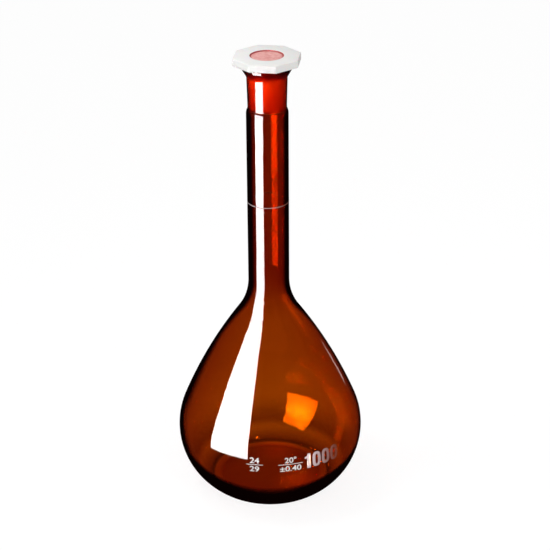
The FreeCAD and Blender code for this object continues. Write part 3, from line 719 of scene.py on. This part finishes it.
def amber_glass():
    """Clear amber glass, faintly wavy, ground dull inside the socket, with painted shade: black rims, a
    darker heel and dark rings in the base.
    """
    material, tree = new_material("amber_glass_blown")
    place = object_place(tree)
    parts = axes(tree, place)
    reach = axis_distance(tree, place)
    inside = maths(tree, "LESS_THAN", reach, (CREASE[0] - SOCKET_INSET) * MM)
    high = mapped(tree, parts["Z"], (GROUND_LOW[1] - GROUND_BLUR) * MM, (GROUND_LOW[1] + GROUND_BLUR) * MM)
    ground = maths(tree, "MULTIPLY", inside, high)
    colour = tinted(tree, ground, wall_colour(tree, reach, parts["Z"]), GROUND_TINT)
    smear = noise(tree, place, SMEAR_SCALE, SMEAR_DETAIL)
    clean = mapped(tree, smear, *SMEAR_RANGE, 0.0, SMEAR_ROUGHNESS)
    rough = blend(tree, ground, clean, GROUND_ROUGHNESS)
    wave = noise(tree, place, WAVE_SCALE, WAVE_DETAIL)
    waves = {"Height": wave, "Strength": WAVE_STRENGTH, "Distance": WAVE_DEPTH}
    relief = add_node(tree, "ShaderNodeBump", waves).outputs["Normal"]
    dark_angle = edge_angle(tree, parts["Z"], parts["X"])
    clear_angle = maths(tree, "ADD", dark_angle, EDGE_WIDTH)
    towards = maths(tree, "SUBTRACT", 1.0, add_node(tree, "ShaderNodeLayerWeight").outputs["Facing"])
    edge = smooth(tree, towards, dark_angle, clear_angle, 1.0, 0.0)
    # Painted shade: the black matt surface takes the place of the glass for the eye at grazing angles
    rim_shade = maths(tree, "MULTIPLY", edge, add_node(tree, "ShaderNodeLightPath").outputs["Is Camera Ray"])
    looks = {"Base Color": colour, "Roughness": rough, "Normal": relief,
             "IOR": GLASS_IOR, "Transmission Weight": 1.0}
    surface = add_node(tree, "ShaderNodeBsdfPrincipled", looks).outputs["BSDF"]
    black = add_node(tree, "ShaderNodeBsdfDiffuse", {"Color": EDGE_SHADE_TINT}).outputs["BSDF"]
    rimmed = add_node(tree, "ShaderNodeMixShader", {0: rim_shade, 1: surface, 2: black}).outputs[0]
    absorbed = {"Color": AMBER, "Density": AMBER_DENSITY}
    amber = add_node(tree, "ShaderNodeVolumeAbsorption", absorbed).outputs["Volume"]
    add_node(tree, "ShaderNodeOutputMaterial", {"Surface": rimmed, "Volume": amber})
    return material


finish_with(flask_glass, amber_glass())
fired_enamel = enamel("white_enamel_fired", (0.9, 0.9, 0.88, 1.0), (0.8, 0.79, 0.77, 1.0))
for piece in small_prints:
    finish_with(piece, fired_enamel)
# The capacity figures and the graduation line darken towards the right under a painted shade
shaded_capacity_enamel = enamel("white_enamel_painted_shade", (0.93, 0.77, 0.8, 1.0), (0.84, 0.68, 0.71, 1.0),
                     shade(PAINTED_PRINT_SHADE, PRINT_SHADE_TINT, *CAPACITY_SHADE_ACROSS))
finish_with(capacity_print, shaded_capacity_enamel)
shaded_line_enamel = enamel("white_enamel_thin_painted_shade", (0.46, 0.38, 0.39, 1.0), (0.36, 0.29, 0.3, 1.0),
                     shade(PAINTED_PRINT_SHADE, PRINT_SHADE_TINT, *LINE_SHADE_ACROSS))
finish_with(enamel_line, shaded_line_enamel)
polyethylene_grain = {
    "Light Tint": (0.87, 0.865, 0.85, 1.0), "Dark Tint": (0.83, 0.825, 0.81, 1.0), "Cloud Scale": 90.0,
    "Grain Scale": 2600.0, "Smooth Roughness": 0.36, "Dull Roughness": 0.5}
# Painted shade on the wall of the recess, with a painted reflection of the red disc
polyethylene = grained(
    "white_polyethylene_satin", polyethylene_grain, bump=0.25,
    shading=shade(PAINTED_RECESS_SHADE, RECESS_SHADE_TINT, *RECESS_WALL_SHADE_REACH),
    constants={"Subsurface Weight": 0.15, "Subsurface Scale": 0.002})
finish_with(stopper_moulding, polyethylene)
disc_grain = {
    "Light Tint": (0.86, 0.47, 0.44, 1.0), "Dark Tint": (0.74, 0.3, 0.28, 1.0), "Cloud Scale": 420.0,
    "Grain Scale": 2400.0, "Smooth Roughness": 0.45, "Dull Roughness": 0.62}
# Painted shade round the edge of the disc, where it meets the wall of the recess
disc_plastic = grained(
    "red_plastic_matte", disc_grain, bump=0.4,
    shading=shade(PAINTED_RECESS_SHADE, RECESS_SHADE_TINT, *DISC_EDGE_SHADE_REACH))
finish_with(colour_disc, disc_plastic)

# Stage: pale floor, white room, soft lamps, and the lamp fronts that the glass mirrors
CLAMP_LEVEL = 60.0
FLOOR_REACH = 1.6
FLOOR_SEGMENTS = 96
FLOOR_GLOW = 0.87
FLOOR_PAPER = (0.2, 0.2, 0.2, 1.0)
ROOM_GLOW = 1.0
MATT_LEVEL = 0.54
BEHIND_GLASS = 3.7
MIRROR_LEVEL = 0.008
# Painted pools of light on the floor, seen only through the glass
BASE_POOLS = (((21.0, -14.0, 0.0), 24.0), ((5.0, 30.0, 0.0), 22.0))
BASE_POOL_LEVEL = 0.9
BACK_POOL = ((-48.0, 70.0, 0.0), 36.0)
BACK_POOL_LEVEL = 13.0
LAMP_COLUMNS = 24
LAMP_FADE = 0.015
LAMP_CORE = (0.02, 0.13)
LAMP_EDGE = 0.38
NEAR_WALL_SHARE = 0.5
THROUGH_GLASS = 1.0
LAMP_AIM = Vector((0.0, 0.0, 0.3))
ANY_BOUNCE = 0.5
NEAR_WALL_BOUNCES = 2.5
scene = bpy.context.scene
scene.view_settings.view_transform = "Standard"
scene.cycles.sample_clamp_indirect = CLAMP_LEVEL


def is_more(tree, value, limit):
    """1 where a value is above a limit, else 0."""
    return maths(tree, "GREATER_THAN", value, limit)


def room_level(tree, path, eyes):
    """Strength of a white surround: for eyes, for matt things, for matt things behind glass, and in gloss."""
    eyes_or_behind = blend(tree, is_more(tree, path["Diffuse Depth"], ANY_BOUNCE), eyes, BEHIND_GLASS)
    in_the_open = blend(tree, path["Is Glossy Ray"], MATT_LEVEL, MIRROR_LEVEL)
    through = maths(tree, "MAXIMUM", path["Is Camera Ray"], path["Is Transmission Ray"])
    return blend(tree, through, in_the_open, eyes_or_behind)


def painted_pool(tree, place, centre, reach):
    """Soft round painted patch of light on the floor, 1 in its middle."""
    return span(tree, distance_from(tree, place, Vector(centre) * MM), reach, 0.0)


def painted_light_pools(tree, path):
    """Painted light on the floor, standing for what the bulb gathers there, seen through the base and
    mirrored by the far wall.
    """
    place = object_place(tree)
    pools = [painted_pool(tree, place, centre, reach) for centre, reach in BASE_POOLS]
    under = maths(tree, "MULTIPLY", maths(tree, "ADD", *pools), BASE_POOL_LEVEL)
    behind = maths(tree, "MULTIPLY", painted_pool(tree, place, *BACK_POOL), BACK_POOL_LEVEL)
    seen = blend(tree, is_more(tree, path["Glossy Depth"], ANY_BOUNCE), under, behind)
    return blend(tree, path["Is Transmission Ray"], 0.0, seen)


def studio_floor():
    """Pale paper disc that glows for the eye, with painted pools of light seen through the glass."""
    form = bmesh.new()
    bmesh.ops.create_circle(form, cap_ends=True, radius=FLOOR_REACH, segments=FLOOR_SEGMENTS)
    floor = new_piece("studio_floor", form)
    floor.visible_glossy = False
    material, tree = new_material("pale_floor")
    material.cycles.emission_sampling = "NONE"
    path = add_node(tree, "ShaderNodeLightPath").outputs
    level = maths(tree, "ADD", room_level(tree, path, FLOOR_GLOW), painted_light_pools(tree, path))
    glow = add_node(tree, "ShaderNodeEmission", {"Color": WHITE, "Strength": level})
    paper = add_node(tree, "ShaderNodeBsdfDiffuse", {"Color": FLOOR_PAPER})
    lit_paper = add_node(tree, "ShaderNodeAddShader", {0: glow.outputs[0], 1: paper.outputs[0]})
    add_node(tree, "ShaderNodeOutputMaterial", {"Surface": lit_paper.outputs[0]})
    finish_with(floor, material)


def white_room():
    """White surround on all sides."""
    world = bpy.data.worlds.new("white_room")
    scene.world = world
    world.use_nodes = True
    tree = world.node_tree
    tree.nodes.clear()
    path = add_node(tree, "ShaderNodeLightPath").outputs
    level = room_level(tree, path, ROOM_GLOW)
    glow = add_node(tree, "ShaderNodeBackground", {"Color": WHITE, "Strength": level})
    add_node(tree, "ShaderNodeOutputWorld", {"Surface": glow.outputs[0]})


def at(turn, distance, height):
    """Point round the flask, turned from the camera side, right of it positive."""
    angle = math.radians(turn)
    return Vector((distance * math.sin(angle), -distance * math.cos(angle), height))


def lamp_falloff():
    """Group: level that falls off round the middle of a lamp front, and the fade over its lower edge."""
    inputs = {"Middle": PLACE, "Core Level": NUMBER, "Edge Level": NUMBER, "Lower Edge": NUMBER}
    tree, given = new_group("lamp_falloff", inputs, {"Level": NUMBER, "Fade": NUMBER})
    place = object_place(tree)
    apart = distance_from(tree, place, given["Middle"])
    level = mapped(tree, apart, *LAMP_CORE, given["Core Level"], given["Edge Level"])
    fade_end = maths(tree, "ADD", given["Lower Edge"], LAMP_FADE)
    fade = smooth(tree, axes(tree, place)["Z"], given["Lower Edge"], fade_end)
    add_node(tree, "NodeGroupOutput", {"Level": level, "Fade": fade})
    return tree


LAMP_FALLOFF = lamp_falloff()


def lamp_front(name, turns, distance, heights, mirrored, inner, behind):
    """Upright lamp front that only glass shows: mirrored on it, mirrored in it, or lighting things behind."""
    first, last = turns
    form = bmesh.new()
    steps = [first + (last - first) * column / LAMP_COLUMNS for column in range(LAMP_COLUMNS + 1)]
    edges = [[form.verts.new(at(turn, distance, height)) for height in heights] for turn in steps]
    for one, two in zip(edges, edges[1:]):
        form.faces.new((one[0], two[0], two[1], one[1]))
    front = new_piece(name, form)
    front.visible_camera = False
    front.visible_diffuse = False
    front.visible_shadow = False
    material, tree = new_material(name + "_light")
    material.cycles.emission_sampling = "NONE"
    path = add_node(tree, "ShaderNodeLightPath").outputs
    shape = {"Middle": at(sum(turns) / 2, distance, sum(heights) / 2), "Core Level": inner,
             "Edge Level": inner * LAMP_EDGE, "Lower Edge": heights[0]}
    falloff = add_node(tree, "ShaderNodeGroup", shape, node_tree=LAMP_FALLOFF).outputs
    far_wall = is_more(tree, path["Transmission Depth"], NEAR_WALL_BOUNCES)
    in_glass = blend(tree, far_wall, mirrored * NEAR_WALL_SHARE, falloff["Level"])
    within = blend(tree, is_more(tree, path["Glossy Depth"], ANY_BOUNCE), THROUGH_GLASS, in_glass)
    within = blend(tree, is_more(tree, path["Diffuse Depth"], ANY_BOUNCE), within, behind)
    level = blend(tree, path["Is Transmission Ray"], mirrored, within)
    faded = maths(tree, "MULTIPLY", level, falloff["Fade"])
    light = add_node(tree, "ShaderNodeEmission", {"Color": WHITE, "Strength": faded})
    add_node(tree, "ShaderNodeOutputMaterial", {"Surface": light.outputs[0]})
    finish_with(front, material)


def soft_lamp(name, place, wide, tall, watts):
    """Area lamp that lights matt surfaces and stays out of reflections."""
    data = bpy.data.lights.new(name, "AREA")
    data.shape = "RECTANGLE"
    data.size = wide
    data.size_y = tall
    data.energy = watts
    lamp = bpy.data.objects.new(name, data)
    lamp.location = place
    lamp.rotation_euler = (LAMP_AIM - place).to_track_quat("-Z", "Y").to_euler()
    lamp.visible_glossy = False
    lamp.visible_transmission = False
    scene.collection.objects.link(lamp)


studio_floor()
white_room()
lamp_front("left_lamp_front", turns=(-69.5, -24.5), distance=0.31, heights=(-0.03, 0.38),
           mirrored=27.0, inner=265.0, behind=18.0)
lamp_front("front_lamp_front", turns=(-15.0, 15.0), distance=0.5, heights=(0.25, 0.45),
           mirrored=0.0, inner=0.0, behind=36.0)
lamp_front("right_lamp_front", turns=(136.0, 139.5), distance=0.6, heights=(-0.06, 0.04),
           mirrored=1.5, inner=0.5, behind=0.0)
soft_lamp("left_lamp", at(turn=-80.0, distance=0.2, height=0.52), wide=0.1, tall=0.14, watts=0.6)
soft_lamp("front_lamp", at(turn=35.0, distance=1.0, height=0.5), wide=0.6, tall=0.6, watts=2.9)
soft_lamp("top_lamp", Vector((-0.1, 0.1, 1.2)), wide=0.8, tall=0.8, watts=0.15)

# Camera, placed by the outline of the flask in the picture
VIEW_HEIGHT = math.radians(25.975)
VIEW_DISTANCE = 1.1168
VIEW_AIM = Vector((0.0, 0.0, 0.1515))
VIEW_ROLL = math.radians(-0.536)
SENSOR_WIDTH = 36.0
LENS = 110.23
LENS_SHIFT = (0.0112, 0.0075)
camera_data = bpy.data.cameras.new("camera")
camera_data.sensor_width = SENSOR_WIDTH
camera_data.lens = LENS
camera_data.shift_x, camera_data.shift_y = LENS_SHIFT
camera = bpy.data.objects.new("camera", camera_data)
away = Vector((0.0, -math.cos(VIEW_HEIGHT), math.sin(VIEW_HEIGHT)))
look = (-away).to_track_quat("-Z", "Y").to_matrix().to_4x4()
camera_place = Matrix.Translation(VIEW_AIM + away * VIEW_DISTANCE)
camera.matrix_world = camera_place @ look @ Matrix.Rotation(VIEW_ROLL, 4, "Z")
scene.collection.objects.link(camera)
scene.camera = camera
